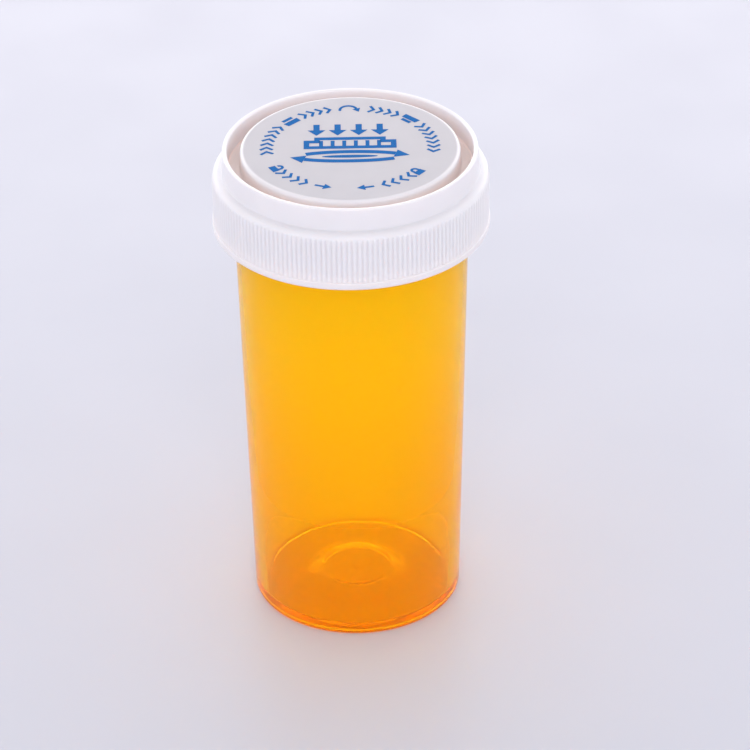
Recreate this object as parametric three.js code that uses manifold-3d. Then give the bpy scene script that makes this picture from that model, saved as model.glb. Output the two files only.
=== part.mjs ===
// A pharmacy vial with a reversible push-and-turn cap, in millimetres, +Z up.
// The origin is the middle of the ring that the vial stands on.
// The cap is seated with its lugs in the gaps between the vial's lugs, pushed down just far enough to
// turn under them. Seen from above, it closes clockwise.
import * as THREE from "three";
import { mergeVertices } from "three/addons/utils/BufferGeometryUtils.js";
import Module from "manifold-3d";

const wasm = await Module();
wasm.setup();

// ---------------------------------------------------------------- driving dimensions

const SIDES = 72; // flat sides of every round
const LUGS = 6; // bayonet lugs on the vial, and as many inside the cap
const PITCH = 360 / LUGS; // degrees from one lug to the next
const GAP = 0.1; // clearance between pieces that rest on each other

// Heights are measured from the surface that the vial stands on.
const FOOT = { inner: 14.8, outer: 15.7, recess: 0.2 }; // the ring that the vial stands on
const WALL = {
  bottomRadius: 16.42, // outside, where the wall starts above the foot's rounded corner
  topRadius: 17.87, // outside, just under the neck
  corner: 0.75,
  innerBottomRadius: 14.95,
};
const FLOOR = { top: 1.5, corner: 0.4 };
const PUNT = { baseRadius: 7.9, topRadius: 5.45, top: 2.9, hollowBase: 7.6, hollowTop: 5.2, hollow: 1.5 };
const NECK = { bottom: 66.8, step: 0.3, radius: 17.75, mouthRadius: 16.75, rim: 71.2, rimRound: 0.25 };
const VIAL_LUG = {
  radius: 18.5,
  bottom: 69.3,
  top: 70.7,
  from: -20, // degrees, from the lug's middle, with the notch on this side
  to: 14,
  toothFrom: 0.5,
  toothTo: 5.5,
  toothBottom: 68.5,
  stopTo: -15.5,
  stopBottom: 67,
};

const CAP = {
  bottom: 65.9,
  skirtRadius: 21,
  skirtInner: 19.5,
  beadRadius: 21.12,
  beadTop: 67.1,
  shoulderBottom: 73.5, // where the straight skirt starts to round over
  shoulderTop: 75.05,
  ceiling: 74.2, // underside, outside the plug
  ringBaseRadius: 19.45,
  ringRadius: 19.3, // outside, at the rim
  ringInner: 18.6,
  ringTop: 78.6,
  channelFloor: 75.4,
  plugRadius: 16.62,
  plugInner: 15.4,
  plateau: 78.5,
  plateauEdge: 0.6, // rounding round the plateau
  pocketCeiling: 77.2,
};
const CAP_LUG = { radius: 17.95, bottom: 66.8, top: 68.2, halfWidth: 6 };

const WAD = { radius: 18.5, thickness: 0.8, edge: 0.1 };
const SPRING = { radius: 18.4, flangeInner: 16, hubRadius: 8.5, thickness: 0.65 };

// ---------------------------------------------------------------- making solids

const radians = THREE.MathUtils.degToRad;

// A closed geometry as a manifold-3d solid.
function solidOf(geometry) {
  const bare = geometry.clone();
  bare.deleteAttribute("normal");
  bare.deleteAttribute("uv");
  const merged = mergeVertices(bare, 1e-4);
  const corners = merged.index.array;
  const triVerts = [];
  for (let i = 0; i < corners.length; i += 3) {
    const [a, b, c] = corners.slice(i, i + 3);
    if (a !== b && b !== c && c !== a) triVerts.push(a, b, c);
  }
  return new wasm.Manifold(
    new wasm.Mesh({
      numProp: 3,
      vertProperties: merged.attributes.position.array,
      triVerts: new Uint32Array(triVerts),
    }),
  );
}

// A manifold-3d solid as a geometry with flat-shaded faces.
function geometryOf(solid) {
  const { vertProperties, triVerts } = solid.getMesh();
  const geometry = new THREE.BufferGeometry();
  geometry.setAttribute("position", new THREE.BufferAttribute(vertProperties, 3));
  geometry.setIndex(new THREE.BufferAttribute(triVerts, 1));
  const faceted = geometry.toNonIndexed();
  faceted.computeVertexNormals();
  return faceted;
}

// A profile of radius and height, drawn as a path from the axis round to the axis, turned about +Z.
function turned(profile, pointsPerCurve = 3) {
  return new THREE.LatheGeometry(profile.getPoints(pointsPerCurve), SIDES).rotateX(Math.PI / 2);
}

// A block between two radii, two angles in degrees and two heights.
function ringSector(inner, outer, from, to, bottom, top) {
  const outline = new THREE.Shape();
  outline.absarc(0, 0, outer, radians(from), radians(to), false);
  outline.absarc(0, 0, inner, radians(to), radians(from), true);
  const steps = Math.ceil((to - from) / 4);
  return new THREE.ExtrudeGeometry(outline, {
    depth: top - bottom,
    bevelEnabled: false,
    curveSegments: steps,
  }).translate(0, 0, bottom);
}

function piece(name, solid, finish) {
  const mesh = new THREE.Mesh(geometryOf(solid), new THREE.MeshStandardMaterial(finish));
  mesh.name = name;
  return mesh;
}

// ---------------------------------------------------------------- vial

// The tapered body, from the hollow under its punt, out over the foot, up to the rim and back inside.
function vialBody() {
  const p = new THREE.Path();
  p.moveTo(0, PUNT.hollow);
  p.lineTo(PUNT.hollowTop, PUNT.hollow);
  p.lineTo(PUNT.hollowBase, FOOT.recess);
  p.lineTo(FOOT.inner - FOOT.recess, FOOT.recess);
  p.lineTo(FOOT.inner, 0);
  p.lineTo(FOOT.outer, 0);
  p.quadraticCurveTo(WALL.bottomRadius, 0, WALL.bottomRadius, WALL.corner);
  p.lineTo(WALL.topRadius, NECK.bottom - NECK.step);
  p.lineTo(NECK.radius, NECK.bottom);
  p.lineTo(NECK.radius, NECK.rim - NECK.rimRound);
  p.quadraticCurveTo(NECK.radius, NECK.rim, NECK.radius - NECK.rimRound, NECK.rim);
  p.lineTo(NECK.mouthRadius + NECK.rimRound, NECK.rim);
  p.quadraticCurveTo(NECK.mouthRadius, NECK.rim, NECK.mouthRadius, NECK.rim - NECK.rimRound);
  p.lineTo(WALL.innerBottomRadius, FLOOR.top + FLOOR.corner);
  p.quadraticCurveTo(WALL.innerBottomRadius, FLOOR.top, WALL.innerBottomRadius - FLOOR.corner, FLOOR.top);
  p.lineTo(PUNT.baseRadius, FLOOR.top);
  p.lineTo(PUNT.topRadius, PUNT.top);
  p.lineTo(0, PUNT.top);
  return solidOf(turned(p));
}

// One bayonet lug: a ledge that the cap's lug passes under, a tooth, a notch behind the tooth and a
// stop wall at the notch's far end. It starts halfway through the neck's wall, so that it joins it.
function vialLug(middle) {
  const root = (NECK.mouthRadius + NECK.radius) / 2;
  const block = (from, to, bottom) =>
    solidOf(ringSector(root, VIAL_LUG.radius, middle + from, middle + to, bottom, VIAL_LUG.top));
  return block(VIAL_LUG.from, VIAL_LUG.to, VIAL_LUG.bottom)
    .add(block(VIAL_LUG.toothFrom, VIAL_LUG.toothTo, VIAL_LUG.toothBottom))
    .add(block(VIAL_LUG.from, VIAL_LUG.stopTo, VIAL_LUG.stopBottom));
}

function vial() {
  let solid = vialBody();
  for (let k = 0; k < LUGS; k++) solid = solid.add(vialLug(k * PITCH));
  return piece("vial", solid, { color: 0xf59a12, roughness: 0.3, transparent: true, opacity: 0.6 });
}

// ---------------------------------------------------------------- cap

// The shell, from the middle of the pocket under its plateau, down the skirt's inside, up its outside,
// over the shoulder and the ring, down into the channel and up onto the plateau.
function capShell() {
  const { plateauEdge: edge } = CAP;
  const rimRound = (CAP.ringRadius - CAP.ringInner) / 3;
  const beadChamfer = (CAP.beadTop - CAP.bottom) / 4;
  const p = new THREE.Path();
  p.moveTo(0, CAP.pocketCeiling);
  p.lineTo(CAP.plugInner, CAP.pocketCeiling);
  p.lineTo(CAP.plugInner, CAP.ceiling);
  p.lineTo(CAP.skirtInner - (CAP.ceiling - CAP.shoulderBottom), CAP.ceiling);
  p.lineTo(CAP.skirtInner, CAP.shoulderBottom);
  p.lineTo(CAP.skirtInner, CAP.bottom);
  p.lineTo(CAP.skirtRadius - beadChamfer, CAP.bottom);
  p.lineTo(CAP.beadRadius, CAP.bottom + beadChamfer);
  p.lineTo(CAP.beadRadius, CAP.beadTop - beadChamfer);
  p.lineTo(CAP.skirtRadius, CAP.beadTop);
  p.lineTo(CAP.skirtRadius, CAP.shoulderBottom);
  p.quadraticCurveTo(CAP.skirtRadius, CAP.shoulderTop, CAP.ringBaseRadius, CAP.shoulderTop);
  p.lineTo(CAP.ringRadius, CAP.ringTop - rimRound);
  p.lineTo(CAP.ringRadius - rimRound, CAP.ringTop);
  p.lineTo(CAP.ringInner + rimRound, CAP.ringTop);
  p.lineTo(CAP.ringInner, CAP.ringTop - rimRound);
  p.lineTo(CAP.ringInner, CAP.channelFloor);
  p.lineTo(CAP.plugRadius, CAP.channelFloor);
  p.lineTo(CAP.plugRadius, CAP.plateau - edge);
  p.quadraticCurveTo(CAP.plugRadius, CAP.plateau, CAP.plugRadius - edge, CAP.plateau);
  p.lineTo(0, CAP.plateau);
  return solidOf(turned(p));
}

// A lug that stands inwards from the skirt. Its root is buried in the skirt's wall.
function capLug(middle) {
  const root = (CAP.skirtInner + CAP.skirtRadius) / 2;
  const { radius, halfWidth, bottom, top } = CAP_LUG;
  return solidOf(ringSector(radius, root, middle - halfWidth, middle + halfWidth, bottom, top));
}

function cap() {
  let solid = capShell();
  for (let k = 0; k < LUGS; k++) solid = solid.add(capLug((k + 0.5) * PITCH));
  return piece("cap", solid, { color: 0xeceaf0, roughness: 0.45 });
}

// ---------------------------------------------------------------- inside the cap

// The foam disc that lies on the vial's rim and seals it.
const wadBottom = NECK.rim + GAP;
const wadTop = wadBottom + WAD.thickness;

function linerWad() {
  const p = new THREE.Path();
  p.moveTo(0, wadBottom);
  p.lineTo(WAD.radius - WAD.edge, wadBottom);
  p.lineTo(WAD.radius, wadBottom + WAD.edge);
  p.lineTo(WAD.radius, wadTop - WAD.edge);
  p.lineTo(WAD.radius - WAD.edge, wadTop);
  p.lineTo(0, wadTop);
  return piece("liner_wad", solidOf(turned(p)), { color: 0xf4f2ee, roughness: 0.9 });
}

// The conical spring: its flange presses the wad on the rim, and its hub holds the cap up.
function springDisc() {
  const bottom = wadTop + GAP;
  const hubTop = CAP.pocketCeiling - GAP;
  const p = new THREE.Path();
  p.moveTo(0, hubTop - SPRING.thickness);
  p.lineTo(SPRING.hubRadius, hubTop - SPRING.thickness);
  p.lineTo(SPRING.flangeInner, bottom);
  p.lineTo(SPRING.radius, bottom);
  p.lineTo(SPRING.radius, bottom + SPRING.thickness);
  p.lineTo(SPRING.flangeInner, bottom + SPRING.thickness);
  p.lineTo(SPRING.hubRadius, hubTop);
  p.lineTo(0, hubTop);
  return piece("spring_disc", solidOf(turned(p)), { color: 0xe6e8ea, roughness: 0.55 });
}

// ---------------------------------------------------------------- assembly

const prescriptionVial = new THREE.Group();
prescriptionVial.add(vial(), linerWad(), springDisc(), cap());

export default prescriptionVial;
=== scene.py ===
# The looks of a prescription vial with a reversible push-and-turn cap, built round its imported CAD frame.
# Blender works in metres; lengths below are in millimetres and are scaled where a mesh is made.
import math

import bpy
import numpy as np
from mathutils import Euler, Matrix, Vector


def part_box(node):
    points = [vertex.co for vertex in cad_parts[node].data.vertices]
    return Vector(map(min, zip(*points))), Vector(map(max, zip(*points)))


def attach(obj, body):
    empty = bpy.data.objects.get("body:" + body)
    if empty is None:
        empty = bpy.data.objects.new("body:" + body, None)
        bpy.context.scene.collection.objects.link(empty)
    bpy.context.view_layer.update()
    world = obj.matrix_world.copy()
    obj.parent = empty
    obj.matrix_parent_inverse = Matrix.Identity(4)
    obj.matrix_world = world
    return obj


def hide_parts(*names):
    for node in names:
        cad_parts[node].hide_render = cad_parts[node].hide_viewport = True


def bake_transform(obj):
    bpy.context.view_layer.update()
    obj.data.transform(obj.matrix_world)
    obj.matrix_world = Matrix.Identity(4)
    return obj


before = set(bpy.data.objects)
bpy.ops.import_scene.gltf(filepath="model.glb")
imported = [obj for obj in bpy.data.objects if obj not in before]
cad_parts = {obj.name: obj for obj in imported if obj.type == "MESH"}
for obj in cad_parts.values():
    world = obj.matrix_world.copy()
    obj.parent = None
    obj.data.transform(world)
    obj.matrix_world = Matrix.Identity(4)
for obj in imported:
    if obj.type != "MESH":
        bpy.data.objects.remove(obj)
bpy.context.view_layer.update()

MM = 0.001


def height_range(node):
    """Lowest and highest point of a CAD node, in millimetres."""
    low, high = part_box(node)
    return low.z / MM, high.z / MM


def radius_of(node):
    """Outer radius of a round CAD node, in millimetres."""
    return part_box(node)[1].x / MM


# ------------------------------------------------------------------ sizes, in millimetres

CAP_BOTTOM, CAP_TOP = height_range("cap")
RIM = height_range("vial")[1]
WAD_BOTTOM, WAD_TOP = height_range("liner_wad")
SPRING_BOTTOM, SPRING_TOP = height_range("spring_disc")

# vial
FOOT_INNER, FOOT_OUTER, FOOT_RECESS = 14.8, 15.7, 0.2
WALL_BOTTOM_RADIUS, WALL_TOP_RADIUS, WALL_CORNER = 16.42, 17.87, 0.75
NECK_BOTTOM, NECK_RADIUS, MOUTH_RADIUS, RIM_ROUND = 66.8, 17.75, 16.75, 0.25
INNER_BOTTOM_RADIUS, FLOOR, FLOOR_CORNER = 14.95, 1.5, 0.4
PUNT_BASE, PUNT_EDGE, PUNT_TOP = 7.9, 5.45, 2.9
HOLLOW_BASE, HOLLOW_EDGE, HOLLOW_TOP = 7.6, 5.2, 1.5
SCAR_TIP, SCAR_ROOT, SCAR_LENGTH = 0.55, 0.75, 0.25  # what the moulding gate leaves in the hollow
LUG_RADIUS = 18.5

# cap
BEAD_RADIUS = radius_of("cap")
SKIRT_RADIUS, SKIRT_INNER = 21.0, 19.5
BEAD_TOP = CAP_BOTTOM + 1.2
SHOULDER_BOTTOM, SHOULDER_TOP = 73.5, 75.05
CEILING = 74.2
RING_BASE, RING_RADIUS, RING_INNER, RING_TOP = 19.45, 19.3, 18.6, CAP_TOP
CHANNEL_FLOOR = 75.4
PLUG_RADIUS, PLUG_INNER = 16.62, 15.4
PLATEAU, PLATEAU_EDGE = CAP_TOP - 0.1, 0.6
POCKET = 77.2
CAP_LUG_RADIUS, CAP_LUG_BOTTOM, CAP_LUG_TOP, CAP_LUG_HALF = 17.95, 66.8, 68.2, 6.0
RIBS, RIB_DEPTH = 172, 0.16

LUGS = 6
PITCH = 360 / LUGS


# ------------------------------------------------------------------ making meshes


def smoothstep(x, low, high):
    """0 below low, 1 above high, smooth between."""
    t = np.clip((x - low) / (high - low), 0, 1)
    return t * t * (3 - 2 * t)


def new_object(name, vertices, faces, smooth=True):
    """A mesh object from vertices in millimetres."""
    mesh = bpy.data.meshes.new(name)
    mesh.from_pydata((np.asarray(vertices, float) * MM).tolist(), [], faces)
    mesh.validate()
    mesh.polygons.foreach_set("use_smooth", [smooth] * len(mesh.polygons))
    mesh.update()
    obj = bpy.data.objects.new(name, mesh)
    bpy.context.scene.collection.objects.link(obj)
    return obj


class Profile:
    """Rows of a turned solid, from the axis round to the axis. A row is (radius, height); its radius is
    one number, or an array with a radius for each column."""

    SUPPORT = 0.03  # rows this close to a line's ends keep its shading flat

    def __init__(self, radius, height):
        self.rows = [(radius, height)]

    def line(self, radius, height):
        r, z = self.rows[-1]
        length = math.hypot(radius - r, height - z)
        if length > 4 * self.SUPPORT:
            for t in (self.SUPPORT / length, 1 - self.SUPPORT / length):
                self.rows.append((r + (radius - r) * t, z + (height - z) * t))
        self.rows.append((radius, height))
        return self

    def even(self, radius, height, steps):
        """A line in even steps."""
        r, z = self.rows[-1]
        for share in np.linspace(0, 1, steps + 1)[1:]:
            self.rows.append((r + (radius - r) * share, z + (height - z) * share))
        return self

    def round(self, corner, end, steps=6):
        """A quadratic curve from the last row, pulled towards corner, to end."""
        (r0, z0), (r1, z1), (r2, z2) = self.rows[-1], corner, end
        for k in range(1, steps + 1):
            t = k / steps
            a, b, c = (1 - t) ** 2, 2 * t * (1 - t), t * t
            self.rows.append((a * r0 + b * r1 + c * r2, a * z0 + b * z1 + c * z2))
        return self

    def shaped(self, heights, radius_at):
        """Rows whose radius changes round the axis: radius_at(height) gives an array."""
        self.rows += [(radius_at(z), z) for z in heights]
        return self


def row_points(radius, z, columns):
    """The points of one row of a profile: a ring, or one point on the axis."""
    if np.ndim(radius) == 0:
        radius = np.full(columns if radius else 1, float(radius))
    angle = np.arange(len(radius)) * (2 * math.pi / len(radius))
    return np.stack([radius * np.cos(angle), radius * np.sin(angle), np.full(len(radius), z)], -1)


def stretch_of(start, count, k, stretches):
    """Indices along one of the equal stretches of a row that starts at start and has count points."""
    if count == 1:
        return [start]
    share = count / stretches
    return [start + i % count for i in range(int(k * share), int((k + 1) * share) + 1)]


def turn(name, profile, columns):
    """The solid of revolution of a profile. Neighbouring rows may differ in their number of columns by a
    whole factor."""
    rows = [row_points(radius, z, columns) for radius, z in profile.rows]
    counts = [len(row) for row in rows]
    starts = [sum(counts[:i]) for i in range(len(rows))]
    faces = []
    for a, na, b, nb in zip(starts, counts, starts[1:], counts[1:]):
        n = min(na, nb) if min(na, nb) > 1 else max(na, nb)
        faces += [stretch_of(a, na, k, n) + stretch_of(b, nb, k, n)[::-1] for k in range(n)]
    return new_object(name, np.concatenate(rows), faces)


def edge_rows(low, high, edges, softness, step=0.35):
    """Heights from low to high, close together near the edges."""
    found = set(np.round(np.arange(low, high + 1e-6, step), 4))
    for e in edges:
        found |= {round(e + d * softness, 4) for d in (-1, -0.5, 0, 0.5, 1)}
    return sorted(z for z in found if low <= z <= high)


PAD_SOFT_DEGREES, PAD_SOFT = 0.35, 0.1  # how far the edges of the lugs are softened


def pad(angle, height, spans):
    """1 on raised pads, each (from, to, bottom, top) in degrees and millimetres, and 0 off them."""
    cover = np.zeros_like(angle)
    for start, end, bottom, top in spans:
        across = smoothstep(angle, start - PAD_SOFT_DEGREES, start + PAD_SOFT_DEGREES)
        across = across - smoothstep(angle, end - PAD_SOFT_DEGREES, end + PAD_SOFT_DEGREES)
        up = smoothstep(height, bottom - PAD_SOFT, bottom + PAD_SOFT)
        up = up - smoothstep(height, top - PAD_SOFT, top + PAD_SOFT)
        cover = np.maximum(cover, across * up)
    return cover


# ------------------------------------------------------------------ vial

VIAL_COLUMNS, NECK_COLUMNS = 240, 720
WALL_STEPS = 12
# A ledge, a tooth and a stop wall, as (from, to, bottom, top) round the lug's middle.
VIAL_LUG = [(-20, 14, 69.3, 70.7), (0.5, 5.5, 68.5, 70.4), (-20, -15.5, 67.0, 70.4)]
LUG_EDGES, LUG_SOFTNESS = (67.0, 68.5, 69.3, 70.7), 0.12


def neck_radius(height):
    """The neck's radius round the axis, with its lugs."""
    angle = np.arange(NECK_COLUMNS) * (360 / NECK_COLUMNS)
    middle = (angle + PITCH / 2) % PITCH - PITCH / 2
    return NECK_RADIUS + (LUG_RADIUS - NECK_RADIUS) * pad(middle, height, VIAL_LUG)


def vial_underside():
    """From the gate's scar, down the hollow and across the recess to the ring that the vial stands on."""
    tip = HOLLOW_TOP - SCAR_LENGTH
    p = Profile(0, tip)
    p.line(SCAR_TIP, tip)
    p.round((SCAR_ROOT - 0.05, tip), (SCAR_ROOT, HOLLOW_TOP), 3)
    p.line(HOLLOW_EDGE - 0.5, HOLLOW_TOP)
    p.round((HOLLOW_EDGE, HOLLOW_TOP), (HOLLOW_EDGE + 0.4, HOLLOW_TOP - 0.25))
    p.line(HOLLOW_BASE - 0.3, FOOT_RECESS + 0.18)
    p.round((HOLLOW_BASE, FOOT_RECESS), (HOLLOW_BASE + 0.4, FOOT_RECESS))
    p.line(FOOT_INNER - 0.8, FOOT_RECESS)
    p.round((FOOT_INNER - 0.4, FOOT_RECESS), (FOOT_INNER - 0.25, FOOT_RECESS / 2), 5)
    p.round((FOOT_INNER - 0.1, 0), (FOOT_INNER + 0.25, 0), 5)
    p.line(FOOT_OUTER, 0)
    return p


def vial_outside(p):
    """Up the tapered wall and the neck with its lugs, and over the rim."""
    p.round((WALL_BOTTOM_RADIUS, 0), (WALL_BOTTOM_RADIUS, WALL_CORNER), 8)
    step = 0.3  # height of the slope from the wall in to the neck
    wall_top = NECK_BOTTOM - step
    p.even(WALL_TOP_RADIUS, wall_top, WALL_STEPS)
    p.round((WALL_TOP_RADIUS, wall_top + step / 2), (NECK_RADIUS, NECK_BOTTOM), 4)
    heights = edge_rows(NECK_BOTTOM + 0.05, RIM - RIM_ROUND - 0.1, LUG_EDGES, LUG_SOFTNESS)
    p.shaped(heights, neck_radius)
    p.rows.append((NECK_RADIUS, RIM - RIM_ROUND))
    p.round((NECK_RADIUS, RIM), (NECK_RADIUS - RIM_ROUND, RIM), 5)
    p.line(MOUTH_RADIUS + RIM_ROUND, RIM)
    p.round((MOUTH_RADIUS, RIM), (MOUTH_RADIUS, RIM - RIM_ROUND), 5)


def vial_inside(p):
    """Down the wall, across the floor and up onto the punt."""
    p.even(INNER_BOTTOM_RADIUS, FLOOR + FLOOR_CORNER, WALL_STEPS)
    p.round((INNER_BOTTOM_RADIUS, FLOOR), (INNER_BOTTOM_RADIUS - FLOOR_CORNER, FLOOR), 8)
    p.line(PUNT_BASE + 0.4, FLOOR)
    p.round((PUNT_BASE, FLOOR), (PUNT_BASE - 0.35, FLOOR + 0.18))
    p.line(PUNT_EDGE + 0.2, PUNT_TOP - 0.1)
    p.round((PUNT_EDGE, PUNT_TOP), (PUNT_EDGE - 0.22, PUNT_TOP))
    p.line(0, PUNT_TOP)


def make_vial():
    p = vial_underside()
    vial_outside(p)
    vial_inside(p)
    return turn("vial_body", p, VIAL_COLUMNS)


# ------------------------------------------------------------------ cap

RIB_POINTS = 8  # columns to each rib
CAP_COLUMNS, RIB_COLUMNS = RIBS * 2, RIBS * RIB_POINTS


def rib_radius(limit):
    """The skirt's radius round the axis: grooves cut between ribs, and never outside limit."""
    phase = np.arange(RIB_COLUMNS) * (2 * math.pi / RIB_POINTS)
    groove = (0.5 + 0.5 * np.cos(phase)) ** 1.5
    return np.minimum(limit, SKIRT_RADIUS - RIB_DEPTH * groove)


def inner_skirt_radius(height):
    """The radius of the skirt's inside round the axis, with its lugs."""
    angle = np.arange(RIB_COLUMNS) * (360 / RIB_COLUMNS)
    middle = angle % PITCH - PITCH / 2
    span = [(-CAP_LUG_HALF, CAP_LUG_HALF, CAP_LUG_BOTTOM, CAP_LUG_TOP)]
    return SKIRT_INNER - (SKIRT_INNER - CAP_LUG_RADIUS) * pad(middle, height, span)


def cap_inside():
    """From the pocket under the plateau, down inside the plug and the skirt, to the cap's bottom edge."""
    p = Profile(0, POCKET)
    p.line(PLUG_INNER - 0.5, POCKET)
    p.round((PLUG_INNER, POCKET), (PLUG_INNER, POCKET - 0.5))
    p.line(PLUG_INNER, CEILING + 0.3)
    p.round((PLUG_INNER, CEILING), (PLUG_INNER + 0.3, CEILING))
    p.line(SKIRT_INNER - 0.7, CEILING)
    p.round((SKIRT_INNER, CEILING), (SKIRT_INNER, CEILING - 0.7))
    p.line(SKIRT_INNER, CAP_LUG_TOP + 0.5)
    edges = (CAP_LUG_BOTTOM, CAP_LUG_TOP)
    heights = edge_rows(CAP_LUG_BOTTOM - 0.2, CAP_LUG_TOP + 0.3, edges, LUG_SOFTNESS)
    p.shaped(heights[::-1], inner_skirt_radius)
    p.rows.append((SKIRT_INNER, CAP_LUG_BOTTOM - 0.3))
    p.line(SKIRT_INNER, CAP_BOTTOM + 0.25)
    p.round((SKIRT_INNER, CAP_BOTTOM), (SKIRT_INNER + 0.25, CAP_BOTTOM), 4)
    return p


def cap_skirt(p):
    """The plain bead round the bottom, then the ribs, which run out on the shoulder's rounding."""
    p.line(BEAD_RADIUS - 0.45, CAP_BOTTOM)
    p.round((BEAD_RADIUS, CAP_BOTTOM), (BEAD_RADIUS, CAP_BOTTOM + 0.45), 6)
    p.line(BEAD_RADIUS, BEAD_TOP - 0.15)
    p.round((BEAD_RADIUS, BEAD_TOP), (SKIRT_RADIUS, BEAD_TOP), 4)
    p.shaped(np.linspace(BEAD_TOP + 0.1, SHOULDER_BOTTOM, 6), lambda z: rib_radius(SKIRT_RADIUS))
    shoulder = Profile(SKIRT_RADIUS, SHOULDER_BOTTOM)
    shoulder.round((SKIRT_RADIUS, SHOULDER_TOP), (RING_BASE + 0.25, SHOULDER_TOP), 16)
    for radius, z in shoulder.rows[1:]:
        p.rows.append((rib_radius(radius) if radius > SKIRT_RADIUS - RIB_DEPTH else radius, z))


def cap_top(p):
    """The upright ring, the channel inside it and the plateau."""
    p.round((RING_BASE, SHOULDER_TOP), (RING_BASE - 0.01, SHOULDER_TOP + 0.25), 4)
    rim = (RING_RADIUS - RING_INNER) * 0.4
    p.line(RING_RADIUS, RING_TOP - rim)
    p.round((RING_RADIUS, RING_TOP), (RING_RADIUS - rim, RING_TOP))
    p.round((RING_INNER, RING_TOP), (RING_INNER, RING_TOP - rim))
    fillet = 0.3
    p.line(RING_INNER, CHANNEL_FLOOR + fillet)
    p.round((RING_INNER, CHANNEL_FLOOR), (RING_INNER - fillet, CHANNEL_FLOOR))
    p.line(PLUG_RADIUS + fillet, CHANNEL_FLOOR)
    p.round((PLUG_RADIUS, CHANNEL_FLOOR), (PLUG_RADIUS, CHANNEL_FLOOR + fillet))
    p.line(PLUG_RADIUS, PLATEAU - PLATEAU_EDGE)
    p.round((PLUG_RADIUS, PLATEAU), (PLUG_RADIUS - PLATEAU_EDGE, PLATEAU), 8)
    p.line(0, PLATEAU)


def make_cap():
    p = cap_inside()
    cap_skirt(p)
    cap_top(p)
    return turn("cap_shell", p, CAP_COLUMNS)


# ------------------------------------------------------------------ inside the cap

DISC_COLUMNS = 192
SPRING_THICKNESS, SPRING_HUB, CONE_FOOT = 0.65, 8.5, 16.0
CONE_RINGS = (10, 11.5, 13, 14.5)  # radii of the rows on the cone's slope


def cone_height(radius):
    """Height of the underside of the spring's cone."""
    slope = (SPRING_TOP - SPRING_THICKNESS - SPRING_BOTTOM) / (CONE_FOOT - SPRING_HUB)
    return SPRING_BOTTOM + (CONE_FOOT - radius) * slope


def make_spring():
    """A cone with a flange below and a hub on top. It stretches between the liner and the cap."""
    bend, edge, outer = 0.5, 0.2, radius_of("spring_disc")
    hub_in, hub_out = SPRING_HUB - bend, SPRING_HUB + bend
    foot_in, foot_out = CONE_FOOT - bend, CONE_FOOT + bend
    under_hub, flange_top = SPRING_TOP - SPRING_THICKNESS, SPRING_BOTTOM + SPRING_THICKNESS
    p = Profile(0, under_hub)
    p.line(hub_in, under_hub)
    p.round((SPRING_HUB, under_hub), (hub_out, cone_height(hub_out)))
    p.rows += [(radius, cone_height(radius)) for radius in CONE_RINGS]
    p.line(foot_in, cone_height(foot_in))
    p.round((CONE_FOOT, SPRING_BOTTOM), (foot_out, SPRING_BOTTOM))
    p.line(outer - edge, SPRING_BOTTOM)
    p.round((outer, SPRING_BOTTOM), (outer, SPRING_BOTTOM + SPRING_THICKNESS / 2), 5)
    p.round((outer, flange_top), (outer - edge, flange_top), 5)
    p.line(foot_out, flange_top)
    p.round((CONE_FOOT, flange_top), (foot_in, cone_height(foot_in) + SPRING_THICKNESS))
    p.rows += [(radius, cone_height(radius) + SPRING_THICKNESS) for radius in CONE_RINGS[::-1]]
    p.line(hub_out, cone_height(hub_out) + SPRING_THICKNESS)
    p.round((SPRING_HUB, SPRING_TOP), (hub_in, SPRING_TOP))
    p.line(0, SPRING_TOP)
    return turn("spring_cone", p, DISC_COLUMNS)


def make_liner():
    """A foam disc with the ring that the rim has pressed into its underside."""
    outer, middle = radius_of("liner_wad"), (NECK_RADIUS + MOUTH_RADIUS) / 2
    edge, dent = 0.1, WAD_BOTTOM + 0.08
    p = Profile(0, WAD_BOTTOM)
    p.line(middle - 0.8, WAD_BOTTOM)
    p.round((middle - 0.5, WAD_BOTTOM), (middle - 0.3, dent), 4)
    p.line(middle + 0.3, dent)
    p.round((middle + 0.5, WAD_BOTTOM), (middle + 0.75, WAD_BOTTOM), 4)
    p.line(outer - edge, WAD_BOTTOM)
    p.round((outer, WAD_BOTTOM), (outer, WAD_BOTTOM + edge), 3)
    p.line(outer, WAD_TOP - edge)
    p.round((outer, WAD_TOP), (outer - edge, WAD_TOP), 3)
    p.line(0, WAD_TOP)
    return turn("foam_liner", p, DISC_COLUMNS)


# ------------------------------------------------------------------ print on the cap

INK_BOTTOM, INK_TOP = PLATEAU - 0.01, PLATEAU + 0.015
BOLD, THIN = 0.85, 0.44  # widths of lines
ARC_RADIUS = 12.6
SHARPEST = 0.5  # a line's corners reach out at most 1 / SHARPEST times half its width
HAIR = 0.02  # between an arrow's line and its head


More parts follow.
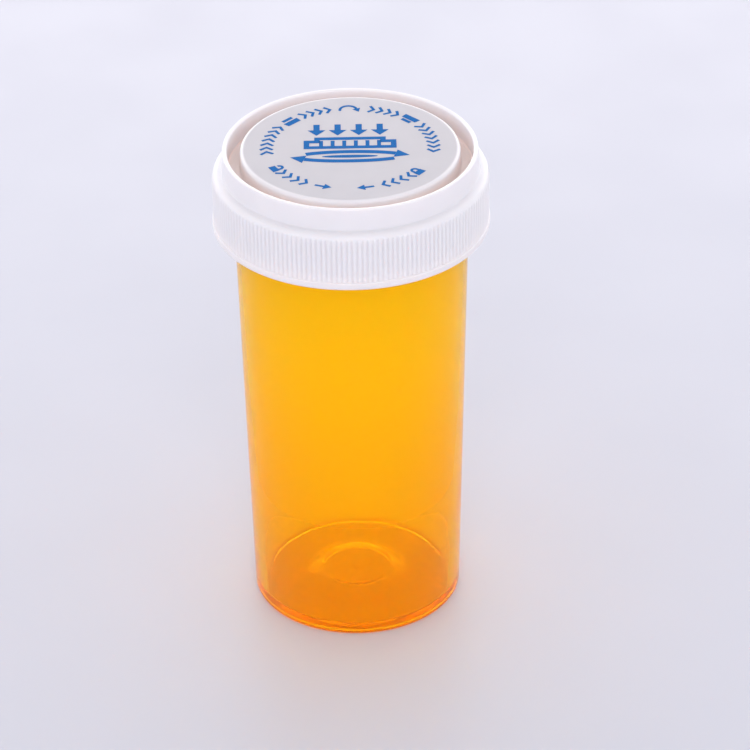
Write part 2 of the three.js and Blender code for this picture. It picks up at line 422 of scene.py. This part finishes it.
class Print:
    """Flat printed shapes, gathered into one piece. where maps a shape's own x and y to the plateau's."""

    def __init__(self):
        self.where, self.vertices, self.faces = None, [], []

    def fill(self, outline):
        """A thin closed prism on an outline."""
        flat = [self.where(x, y) for x, y in outline]
        n, start = len(flat), len(self.vertices)
        self.vertices += [(x, y, z) for z in (INK_BOTTOM, INK_TOP) for x, y in flat]
        low, high = list(range(start, start + n)), list(range(start + n, start + 2 * n))
        area = sum(a[0] * b[1] - b[0] * a[1] for a, b in zip(flat, flat[1:] + flat[:1]))
        if area < 0:
            low, high = low[::-1], high[::-1]
        self.faces += [low[::-1], high]
        self.faces += [[low[i - 1], low[i], high[i], high[i - 1]] for i in range(n)]

    def bar(self, left, right, low, high):
        """A filled rectangle."""
        self.fill([(left, low), (right, low), (right, high), (left, high)])

    def stroke(self, points, width):
        """A band of even width along a line."""
        points = [Vector(p) for p in points]
        left, right = [], []
        for i, p in enumerate(points):
            before = (p - points[i - 1]).normalized() if i else None
            after = (points[i + 1] - p).normalized() if i + 1 < len(points) else None
            along = ((before or after) + (after or before)).normalized()
            across = Vector((-along.y, along.x))
            mitre = 1 / max(SHARPEST, along.dot(before or after))
            left.append(p + across * (width / 2 * mitre))
            right.append(p - across * (width / 2 * mitre))
        self.fill([tuple(p) for p in left + right[::-1]])

    def headed(self, points, width, head_width, head_length):
        """A band that ends in an arrowhead."""
        self.stroke(points, width)
        end, along = Vector(points[-1]), (Vector(points[-1]) - Vector(points[-2])).normalized()
        foot, across = end + along * HAIR, Vector((-along.y, along.x)) * (head_width / 2)
        self.fill([tuple(foot - across), tuple(foot + along * head_length), tuple(foot + across)])

    def made(self, name):
        return new_object(name, self.vertices, self.faces, smooth=False)


def straight(x0, y0, side=1):
    """Places a shape at a point of the plateau, turned half round if side is -1."""
    return lambda x, y: (x0 + side * x, y0 + side * y)


def on_arc(degrees, foot_inside=True):
    """Places a shape on the arc of print round the plateau, its foot towards the middle or away from it."""
    side = 1 if foot_inside else -1

    def where(x, y):
        angle = math.radians(degrees) - side * x / ARC_RADIUS
        reach = ARC_RADIUS + side * y
        return reach * math.cos(angle), reach * math.sin(angle)

    return where


def curve(cx, cy, rx, ry, start, end, steps):
    """Points on an ellipse from start to end, in degrees."""
    angles = [math.radians(start + (end - start) * k / steps) for k in range(steps + 1)]
    return [(cx + rx * math.cos(a), cy + ry * math.sin(a)) for a in angles]


def arrow(length, head, shaft, head_length):
    """The outline of an arrow that points along +x, its middle at the origin."""
    x0, x1, x2 = -length / 2, length / 2 - head_length, length / 2
    half, wide = shaft / 2, head / 2
    return [(x0, -half), (x1, -half), (x1, -wide), (x2, 0), (x1, wide), (x1, half), (x0, half)]


def row_place(k, count, pitch):
    """Where the k-th of a centred row of shapes stands."""
    return (k - (count - 1) / 2) * pitch


def pressing_arrows(p):
    """A row of bold arrows that point down."""
    count, pitch, middle, height = 4, 3.2, -0.25, 5.65
    down = [(y, -x) for x, y in arrow(length=3.5, head=2.7, shaft=0.95, head_length=1.7)]
    for k in range(count):
        p.where = straight(middle + row_place(k, count, pitch), height)
        p.fill(down)


def ribbed_cap(p):
    """A cap from the side: its foot, its outline with the step up to the ring, and its ribs."""
    p.where = straight(0, 1.5)
    half, ring, low, step, top = 7.0, 5.4, -1.8, 0.85, 1.8
    edge, gap, foot = BOLD / 2, 0.03, low + BOLD
    p.bar(-half, half, low, foot)
    skirt, neck, ledge = half - edge, ring - edge, step - edge
    side = [(skirt, foot + gap), (skirt, ledge), (neck, ledge), (neck, top - edge)]
    p.stroke([(-x, y) for x, y in side] + side[::-1], BOLD)
    ribs, pitch, rib_half, rib_top = 6, 1.75, 0.3, step - 0.15
    for k in range(ribs):
        x = row_place(k, ribs, pitch)
        p.bar(x - rib_half, x + rib_half, foot + gap, rib_top)


def print_press():
    """Bold arrows that press down on a ribbed cap, seen from the side."""
    p = Print()
    pressing_arrows(p)
    ribbed_cap(p)
    return p.made("print_press")


def print_turn():
    """Two bold arrows that chase each other round a disc, seen at a slant."""
    p = Print()
    middle = (-0.05, -2.75)
    path = curve(0, 0, 7.9, 1.45, start=147, end=30, steps=40)
    for side in (-1, 1):
        p.where = straight(*middle, side)
        p.headed(path, 0.95, head_width=2.3, head_length=2.2)
    p.where = straight(*middle)
    p.fill(curve(0, 0, 4.2, 0.42, start=0, end=345, steps=23))
    return p.made("print_turn")


def small_cap(p, side):
    """A cap from the side, its skirt and its ring, turned over if side is -1."""
    for half, low, high in ((1.4, -0.95, 0.1), (0.95, 0.35, 0.95)):
        p.bar(-half, half, side * low, side * high)


def chevron(p, way):
    """A chevron that points along x if way is 1, and back if it is -1."""
    x, y = way * 0.38, 0.95
    p.stroke([(-x, -y), (x, 0), (-x, y)], THIN)


def print_flip():
    """Round the top: a cap, an arrow that turns it over, and the cap turned over, between chevrons."""
    p = Print()
    upright, flip, over, room = 136, 90, 44, 11  # places of the signs and the room round each, in degrees
    for degrees in np.linspace(186, -6, 32):
        if min(abs(degrees - place) for place in (upright, flip, over)) >= room:
            p.where = on_arc(degrees)
            chevron(p, 1)
    p.where = on_arc(upright)
    small_cap(p, 1)
    p.where = on_arc(flip)
    path = curve(-0.2, -0.7, 1.35, 1.5, start=180, end=25, steps=16)
    p.headed(path, THIN, head_width=1.3, head_length=1.1)
    p.where = on_arc(over)
    small_cap(p, -1)
    return p.made("print_flip")


def padlock(p, is_open):
    """A padlock, its shackle let go if it is open."""
    p.bar(-0.8, 0.8, -1.0, 0.1)
    closed, let_go, half = 0.14, 0.42, 0.5
    shackle = curve(0, 0.45, half, 0.5, start=0, end=180, steps=10)
    p.stroke([(half, closed)] + shackle + [(-half, let_go if is_open else closed)], THIN)


def print_side(name, side):
    """Below the middle on one side: an arrow for the way to turn, chevrons and a padlock."""
    p = Print()
    bottom, first, pitch, last = -94.5, 14.5, 7.0, 6
    for k in (0, *range(2, last + 1)):
        p.where = on_arc(bottom + side * (first + k * pitch), foot_inside=False)
        if k == 0:
            p.fill([(-side * x, y) for x, y in arrow(2.6, 1.6, THIN, 1.2)])
        elif k == last:
            padlock(p, is_open=side < 0)
        else:
            chevron(p, -side)
    return p.made(name)


# ------------------------------------------------------------------ materials


class Nodes:
    """Short ways to add nodes to a tree."""

    def __init__(self, tree):
        self.tree = tree

    def add(self, kind, inputs=None, **settings):
        """A node with these settings. Each input is a value, or another node's output to link."""
        node = self.tree.nodes.new(kind)
        for key, value in settings.items():
            setattr(node, key, value)
        for key, value in (inputs or {}).items():
            if isinstance(value, bpy.types.NodeSocket):
                self.tree.links.new(value, node.inputs[key])
            else:
                node.inputs[key].default_value = value
        return node

    def math(self, operation, a, b):
        return self.add("ShaderNodeMath", {0: a, 1: b}, operation=operation).outputs["Value"]

    def times(self, first, *others):
        for other in others:
            first = self.math("MULTIPLY", first, other)
        return first


class Paint(Nodes):
    """A Principled material. sockets holds the values that are the same all over it."""

    def __init__(self, name, **sockets):
        self.material = bpy.data.materials.new(name)
        self.material.use_nodes = True
        super().__init__(self.material.node_tree)
        self.shader = self.tree.nodes["Principled BSDF"]
        for label, value in sockets.items():
            self.shader.inputs[label.replace("_", " ")].default_value = value
        self.place = self.add("ShaderNodeTexCoord").outputs["Object"]

    def stretched(self, size):
        """Object coordinates divided by a size in millimetres: one number, or one for each axis."""
        sizes = size if isinstance(size, tuple) else (size, size, size)
        scale = [1 / (MM * length) for length in sizes]
        return self.add("ShaderNodeMapping", {"Vector": self.place, "Scale": scale}).outputs["Vector"]

    def noise(self, size, detail=3):
        """Soft noise about 0.5, with lumps of about that size."""
        inputs = {"Vector": self.stretched(size), "Scale": 1.0, "Detail": detail}
        return self.add("ShaderNodeTexNoise", inputs).outputs["Fac"]

    def cells(self, size):
        """Distance from the middles of scattered cells of about that size, as a share of it."""
        inputs = {"Vector": self.stretched(size), "Scale": 1.0}
        return self.add("ShaderNodeTexVoronoi", inputs).outputs["Distance"]

    def specks(self, spacing, radius):
        """1 on sparse dots, 0 between them."""
        return self.ramp(self.cells(spacing), radius / spacing, 0.4 * radius / spacing)

    def ramp(self, value, low, high, to_low=0.0, to_high=1.0):
        """From to_low to to_high, smoothly, as value goes from low to high."""
        inputs = {"Value": value, "From Min": low, "From Max": high, "To Min": to_low, "To Max": to_high}
        return self.add("ShaderNodeMapRange", inputs, interpolation_type="SMOOTHSTEP").outputs["Result"]

    def mix(self, share, a, b):
        """Colour a where share is 0 and b where it is 1."""
        factor, first, second, result = 0, 6, 7, 2  # the Mix node's sockets for colours
        node = self.add("ShaderNodeMix", {factor: share, first: a, second: b}, data_type="RGBA")
        return node.outputs[result]

    def along(self, axis):
        """The object's coordinate along X, Y or Z, in millimetres. Z is the height above the floor."""
        value = self.add("ShaderNodeSeparateXYZ", {"Vector": self.place}).outputs[axis]
        return self.math("DIVIDE", value, MM)

    def radius(self):
        """Distance from the axis, in millimetres."""
        inputs = {0: self.place, 1: (1, 1, 0)}
        flat = self.add("ShaderNodeVectorMath", inputs, operation="MULTIPLY").outputs[0]
        length = self.add("ShaderNodeVectorMath", {0: flat}, operation="LENGTH").outputs["Value"]
        return self.math("DIVIDE", length, MM)

    def bump(self, height, distance, strength=1.0, below=None):
        """Relief as deep as distance, in millimetres, over another relief if below is given."""
        inputs = {"Height": height, "Distance": distance * MM, "Strength": strength}
        if below is not None:
            inputs["Normal"] = below
        return self.add("ShaderNodeBump", inputs).outputs["Normal"]

    def use(self, socket, value):
        self.tree.links.new(value, self.shader.inputs[socket])


CLOUDINESS = (0.18, 0.30)  # share of the amber's light that scatters, at the bottom and higher up


def cloudy(paint, colour):
    """Lets part of the light scatter, half of it back and half on through the wall."""
    back = paint.add("ShaderNodeBsdfDiffuse", {"Color": colour}).outputs["BSDF"]
    through = paint.add("ShaderNodeBsdfTranslucent", {"Color": colour}).outputs["BSDF"]
    cloud = paint.add("ShaderNodeMixShader", {0: 0.5, 1: back, 2: through}).outputs["Shader"]
    share = paint.ramp(paint.along("Z"), 4, 25, *CLOUDINESS)
    clear = paint.shader.outputs["BSDF"]
    return paint.add("ShaderNodeMixShader", {0: share, 1: clear, 2: cloud}).outputs["Shader"]


def amber():
    """Clear amber polypropylene, a little cloudy, with faint flow lines, specks and handling scratches, and
    painted shade that deepens it towards the bottom.
    """
    paint = Paint("amber_pp", Transmission_Weight=1.0, IOR=1.42, Specular_Tint=(1.0, 0.6, 0.35, 1))
    flow, dust = paint.noise((5, 5, 40), 4), paint.specks(6.0, 0.12)
    dirt = (0.55, 0.18, 0.01, 1)
    # painted shade: the amber is painted deeper towards the bottom, where the light has crossed more
    # plastic
    rise = paint.ramp(paint.along("Z"), 0, 55)
    low = paint.mix(flow, (1.0, 0.79, 0.0, 1), (1.0, 0.83, 0.0, 1))
    high = paint.mix(flow, (1.0, 0.88, 0.0, 1), (1.0, 0.92, 0.0, 1))
    paint.use("Base Color", paint.mix(dust, paint.mix(rise, low, high), dirt))
    scratches = paint.noise((0.25, 0.25, 9), 2)
    paint.use("Roughness", paint.ramp(scratches, 0.55, 0.8, 0.03, 0.1))
    waves = paint.bump(paint.noise(9, 1), 0.06)
    paint.use("Normal", paint.bump(scratches, 0.002, below=waves))
    # the scattered share's colour carries the same painted shade, deeper towards the bottom
    cloud = paint.mix(dust, paint.mix(rise, (1.0, 0.55, 0.0, 1), (1.0, 0.73, 0.0, 1)), dirt)
    output = paint.tree.nodes["Material Output"]
    paint.tree.links.new(cloudy(paint, cloud), output.inputs["Surface"])
    volume = paint.add("ShaderNodeVolumeAbsorption", {"Color": (1.0, 0.95, 0.0, 1), "Density": 900})
    paint.tree.links.new(volume.outputs["Volume"], output.inputs["Volume"])
    return paint.material


def plateau_shade_share(paint, radius, height):
    """1 on the plateau, where painted shade greys the white."""
    inside = paint.ramp(radius, PLUG_RADIUS - 0.3, PLUG_RADIUS - 0.7)
    return paint.times(inside, paint.ramp(height, PLATEAU - 0.3, PLATEAU - 0.1))


def channel_amber_light_share(paint, radius, height):
    """1 in the channel round the plateau, where painted amber light warms the white."""
    inside = paint.ramp(radius, RING_INNER + 0.02, RING_INNER - 0.05)
    outside = paint.ramp(radius, PLUG_RADIUS - 0.25, PLUG_RADIUS)
    deep = paint.ramp(height, PLATEAU - 0.1, CHANNEL_FLOOR + 1.5)
    return paint.times(inside, outside, deep)


def groove_shade_share(paint, radius, height):
    """1 in the grooves between the ribs, where painted shade darkens the white."""
    groove_floor = SKIRT_RADIUS - RIB_DEPTH
    deep = paint.ramp(radius, SKIRT_RADIUS - 0.04, groove_floor + 0.02)
    outside = paint.ramp(radius, SKIRT_INNER + 0.4, SKIRT_INNER + 0.6)
    skirt = paint.ramp(height, SHOULDER_BOTTOM + 0.8, SHOULDER_BOTTOM - 0.5)
    return paint.times(deep, outside, skirt)


def white_colour(paint):
    """Off-white, with painted shade that greys the plateau and darkens the grooves, and painted amber light
    that warms the channel and the skirt near the bottom.
    """
    radius, height = paint.radius(), paint.along("Z")
    colour = paint.mix(paint.noise(6, 3), (0.675, 0.665, 0.695, 1), (0.71, 0.70, 0.73, 1))
    # painted shade: the plateau is painted greyer than the rest, as its top takes less light
    colour = paint.mix(plateau_shade_share(paint, radius, height), colour, (0.443, 0.428, 0.458, 1))
    # painted light: a peach tint in the channel stands for amber light from the vial
    colour = paint.mix(channel_amber_light_share(paint, radius, height), colour, (0.84, 0.74, 0.70, 1))
    # painted shade: the grooves between the ribs are painted darker
    groove = paint.times(groove_shade_share(paint, radius, height), 0.2)
    colour = paint.mix(groove, colour, (0.60, 0.55, 0.56, 1))
    # painted light: a warm tint near the skirt's bottom stands for amber light shining through from the
    # vial
    foot = paint.times(paint.ramp(height, CAP_BOTTOM + 4.5, CAP_BOTTOM), 0.3)
    colour = paint.mix(foot, colour, (0.80, 0.71, 0.70, 1))
    return paint.mix(paint.specks(7.0, 0.1), colour, (0.5, 0.45, 0.42, 1))


def white():
    """White polypropylene: a fine matt grain, slightly see-through where it is thin."""
    paint = Paint("white_pp", IOR=1.49, Specular_IOR_Level=0.3, Subsurface_Weight=0.6,
                  Subsurface_Scale=1.2 * MM, Subsurface_Radius=(1.0, 0.85, 0.75))
    paint.use("Base Color", white_colour(paint))
    paint.use("Roughness", paint.ramp(paint.noise(2.5, 3), 0.3, 0.7, 0.34, 0.44))
    lumps = paint.bump(paint.noise(7, 1), 0.04)
    paint.use("Normal", paint.bump(paint.noise(0.18, 3), 0.004, below=lumps))
    return paint.material


def milky():
    """Natural low-density polyethylene: milky and waxy."""
    paint = Paint("natural_ldpe", IOR=1.51, Transmission_Weight=0.35, Subsurface_Weight=0.5,
                  Subsurface_Scale=1.5 * MM)
    paint.use("Base Color", paint.mix(paint.noise(4, 3), (0.80, 0.81, 0.80, 1), (0.88, 0.88, 0.86, 1)))
    paint.use("Roughness", paint.ramp(paint.noise(1.2, 3), 0.3, 0.7, 0.32, 0.5))
    paint.use("Normal", paint.bump(paint.noise(0.25, 3), 0.01))
    return paint.material


def foam():
    """Pressed white polyethylene foam, with small cells."""
    paint = Paint("white_foam", Specular_IOR_Level=0.3)
    wall = paint.cells(0.35)
    paint.use("Base Color", paint.mix(wall, (0.86, 0.86, 0.85, 1), (0.70, 0.70, 0.70, 1)))
    paint.use("Roughness", paint.ramp(wall, 0.1, 0.7, 0.75, 0.95))
    paint.use("Normal", paint.bump(wall, 0.05, 0.8))
    return paint.material


def ink():
    """Blue pad-printing ink, a little thinner in places."""
    paint = Paint("blue_ink", Specular_IOR_Level=0.0)
    cover = paint.noise(0.5, 4)
    paint.use("Base Color", paint.mix(cover, (0.026, 0.12, 0.36, 1), (0.034, 0.165, 0.43, 1)))
    paint.use("Roughness", paint.ramp(paint.noise(0.3, 2), 0.3, 0.7, 0.4, 0.6))
    paint.use("Normal", paint.bump(paint.noise(0.12, 2), 0.004))
    return paint.material


def floor_paint():
    """Pale, faintly glossy studio board, with painted light that makes it lighter towards the back."""
    paint = Paint("floor", Specular_IOR_Level=0.25)
    clouds = paint.noise(60, 3)
    # painted light: the board is painted lighter towards the back, for the light's falloff
    near = paint.mix(clouds, (0.51, 0.525, 0.60, 1), (0.53, 0.545, 0.62, 1))
    far = paint.mix(clouds, (0.575, 0.575, 0.65, 1), (0.595, 0.595, 0.67, 1))
    paint.use("Base Color", paint.mix(paint.ramp(paint.along("Y"), -120, 380), near, far))
    paint.use("Roughness", paint.ramp(paint.noise(25, 3), 0.3, 0.7, 0.38, 0.46))
    return paint.material


# ------------------------------------------------------------------ camera, floor and light

CAMERA_PLACE = Vector((0, -0.4773, 0.3364))
CAMERA_DOWN, CAMERA_RIGHT, CAMERA_ROLL = 32.006, 0.391, -0.808  # degrees
CAMERA_LENS, SENSOR = 172.8, 36  # mm
CAMERA_NEAR, CAMERA_FAR = 0.01, 20  # metres
BOARD_TOP = -0.05  # a hair below the vial's foot
SKY_HORIZON, SKY_ZENITH = 1.75, 0.22  # strength of the room's light


def make_camera():
    data = bpy.data.cameras.new("camera")
    data.sensor_width, data.lens = SENSOR, CAMERA_LENS
    data.clip_start, data.clip_end = CAMERA_NEAR, CAMERA_FAR
    camera = bpy.data.objects.new("camera", data)
    bpy.context.scene.collection.objects.link(camera)
    aim = Euler((math.radians(90 - CAMERA_DOWN), 0, math.radians(-CAMERA_RIGHT))).to_matrix()
    roll = Matrix.Rotation(math.radians(CAMERA_ROLL), 3, "Z")
    camera.matrix_world = Matrix.Translation(CAMERA_PLACE) @ (aim @ roll).to_4x4()
    bpy.context.scene.camera = camera


def make_floor():
    """A wide board, flat under the vial and rising slowly far away from it."""
    flat, reach, rise, rings, columns = 900.0, 4000.0, 120.0, 14, 64
    p = Profile(0, BOARD_TOP)
    for radius in np.linspace(flat, reach, rings):
        share = (radius - flat) / (reach - flat)
        p.rows.append((radius, BOARD_TOP + rise * share ** 2))
    floor = turn("floor", p, columns)
    floor.data.materials.append(floor_paint())


def make_light(name, place, size, power, colour):
    """A softbox of size (width, height) at place, in metres, that faces the middle of the vial."""
    data = bpy.data.lights.new(name, "AREA")
    data.shape, data.energy, data.color = "RECTANGLE", power, colour
    data.size, data.size_y = size
    light = bpy.data.objects.new(name, data)
    bpy.context.scene.collection.objects.link(light)
    light.location = place
    facing = Vector((0, 0, 0.04)) - Vector(place)
    light.rotation_euler = facing.to_track_quat("-Z", "Y").to_euler()
    light.visible_camera = False


def make_sky():
    """A pale room that is brightest near the horizon, as a ring of low softboxes makes it."""
    world = bpy.data.worlds.new("world")
    bpy.context.scene.world = world
    world.use_nodes = True
    sky = Nodes(world.node_tree)
    direction = sky.add("ShaderNodeTexCoord").outputs["Generated"]
    up = sky.add("ShaderNodeSeparateXYZ", {"Vector": direction}).outputs["Z"]
    # strength = zenith + (horizon - zenith) * (1 - up * up)
    level = sky.math("SUBTRACT", 1, sky.math("POWER", up, 2))
    strength = sky.math("ADD", sky.times(level, SKY_HORIZON - SKY_ZENITH), SKY_ZENITH)
    background = sky.tree.nodes["Background"]
    background.inputs["Color"].default_value = (0.985, 0.97, 1.0, 1)
    sky.tree.links.new(strength, background.inputs["Strength"])


def set_light_paths():
    """Enough bounces for light that crosses the amber walls, and none of it blurred away."""
    limits = bpy.context.scene.cycles
    limits.max_bounces, limits.diffuse_bounces = 32, 16
    limits.glossy_bounces, limits.transmission_bounces = 12, 24
    limits.blur_glossy = 0


def make_light_room():
    make_sky()
    make_light("back_softbox", (0, 3.6, 1.2), (9.6, 1.8), power=144.0, colour=(0.97, 0.97, 1.0))
    make_light("front_softbox", (0, -0.75, 0.7), (0.35, 0.35), power=2.0, colour=(1.0, 0.98, 1.0))
    bpy.context.scene.view_settings.view_transform = "Standard"
    set_light_paths()


# ------------------------------------------------------------------ the scene


def fit(obj, material, body=None, node=None):
    """Gives a piece its material and its body, and hides the CAD node that it stands for."""
    obj.data.materials.append(material)
    if node:
        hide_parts(node)
    if body:
        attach(obj, body)


def make_prints():
    pieces = [print_press(), print_turn(), print_flip()]
    pieces += [print_side("print_open", -1), print_side("print_close", 1)]
    blue = ink()
    for piece in pieces:
        fit(piece, blue, "cap")


def make_pieces():
    fit(make_vial(), amber(), "vial", "vial")
    fit(make_cap(), white(), "cap", "cap")
    fit(make_liner(), foam(), "liner", "liner_wad")
    spring = make_spring()
    fit(spring, milky(), None, "spring_disc")
    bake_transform(spring)
    make_prints()


make_camera()
make_floor()
make_light_room()
make_pieces()
